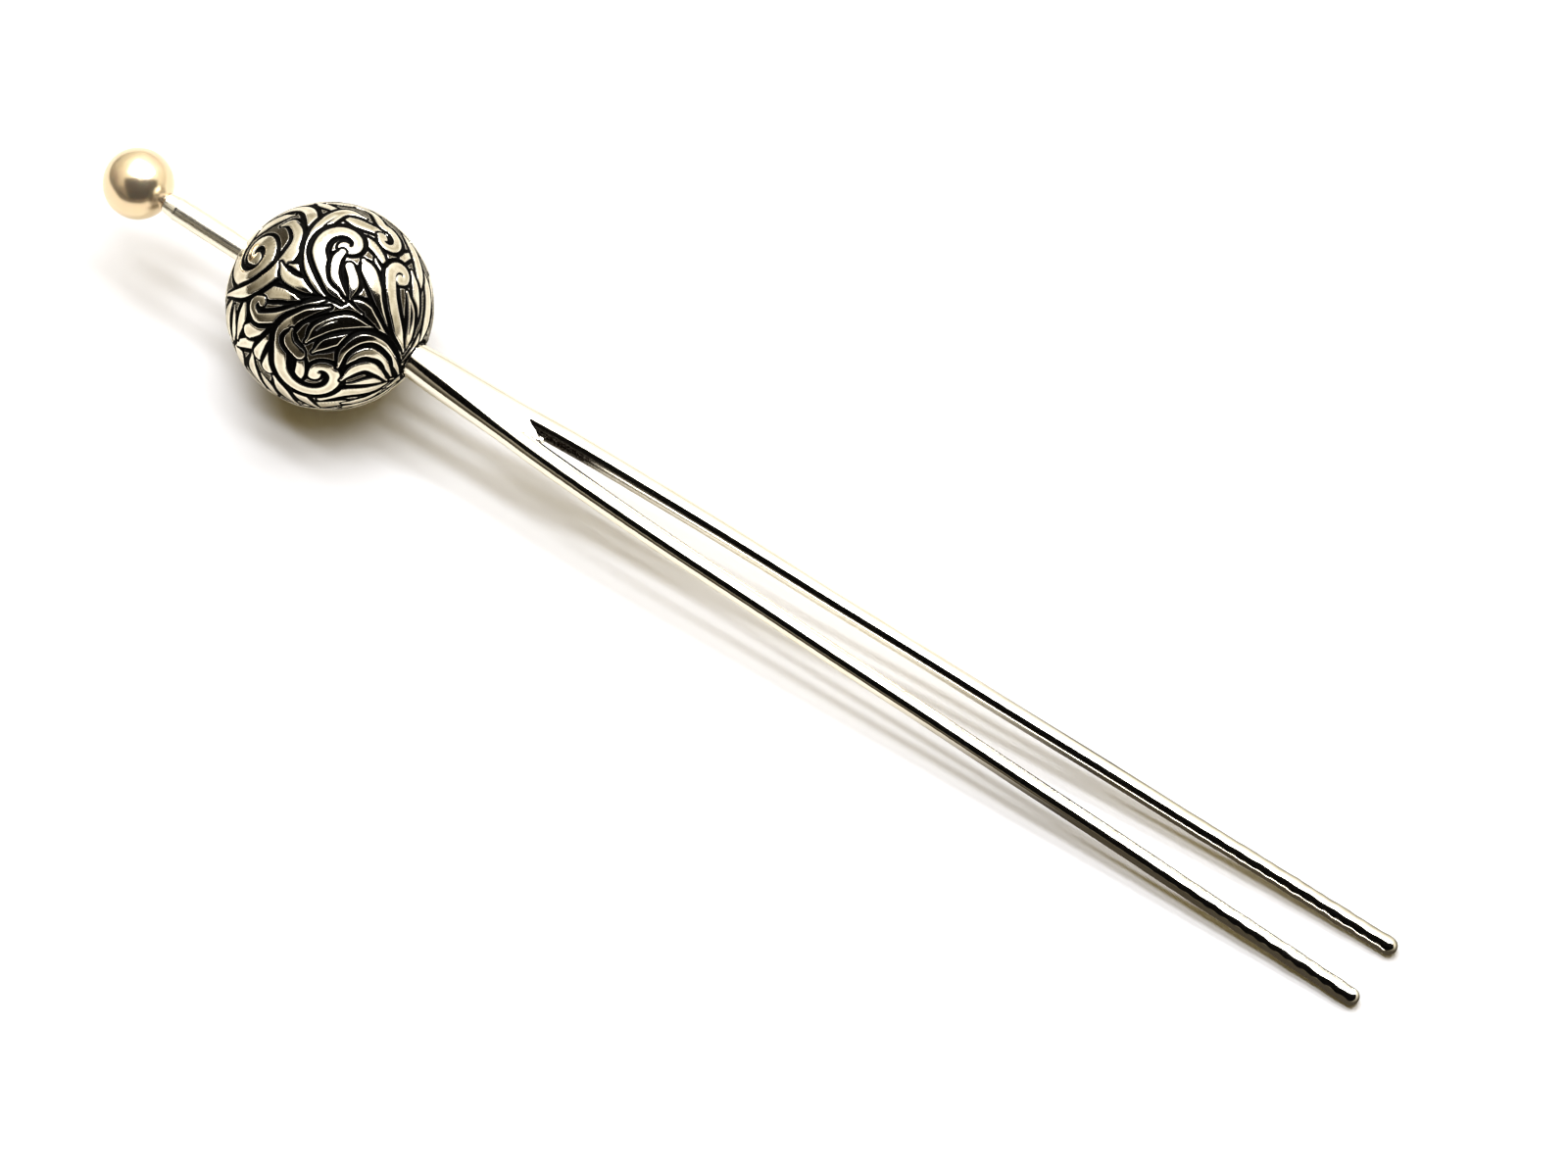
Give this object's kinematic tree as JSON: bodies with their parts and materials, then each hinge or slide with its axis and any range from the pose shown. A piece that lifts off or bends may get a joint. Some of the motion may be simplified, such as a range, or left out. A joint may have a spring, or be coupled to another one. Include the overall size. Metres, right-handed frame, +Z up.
{
  "type": "hat pin",
  "caption": "Two-prong hat and hair pin with blunt tips, an engraved hollow silver ball and a pearl on a short stem.",
  "frame": {"origin": "on the table under the middle of the pin's overall length, at the middle of its width", "axes": "+X along the pin from the pearl to the prong tips, seen from above; +Y across the fork to the left prong; +Z up from the table the pin lies on"},
  "size_m": [0.1048, 0.0144, 0.0144],
  "materials": {
    "nacre": "cream pearl with a soft lustre",
    "epoxy": "clear hardened glue",
    "polished_silver": "polished by hand, slightly wavy",
    "oxidised_silver": "engraved scrolls, polished high, darkened in the cuts",
    "silver_solder": "hard solder, as flowed"
  },
  "bodies": {
    "ornament": {"pearl": "nacre", "pearl_cement": "epoxy", "pearl_cup": "polished_silver", "core_wire": "polished_silver", "stem_tube": "polished_silver", "stem_solder": "silver_solder", "ball_upper_shell": "oxidised_silver", "ball_seam_ring": "polished_silver", "ball_lower_shell": "oxidised_silver", "neck_solder": "silver_solder", "fork_neck": "polished_silver"},
    "left_prong": {"prong_left": "polished_silver"},
    "right_prong": {"prong_right": "polished_silver"}
  },
  "joints": [
    {"name": "left_prong_flex", "type": "hinge", "parent": "ornament", "child": "left_prong", "pos_m": [-0.01755, 0.0009, 0.00595], "axis": [0.0763, 0, 0.9971], "range_deg": [-1.3, 3], "stiffness_Nm_per_rad": 0.49},
    {"name": "right_prong_flex", "type": "hinge", "parent": "ornament", "child": "right_prong", "pos_m": [-0.01755, -0.0009, 0.00595], "axis": [-0.0763, 0, -0.9971], "range_deg": [-1.3, 3], "stiffness_Nm_per_rad": 0.49}
  ]
}
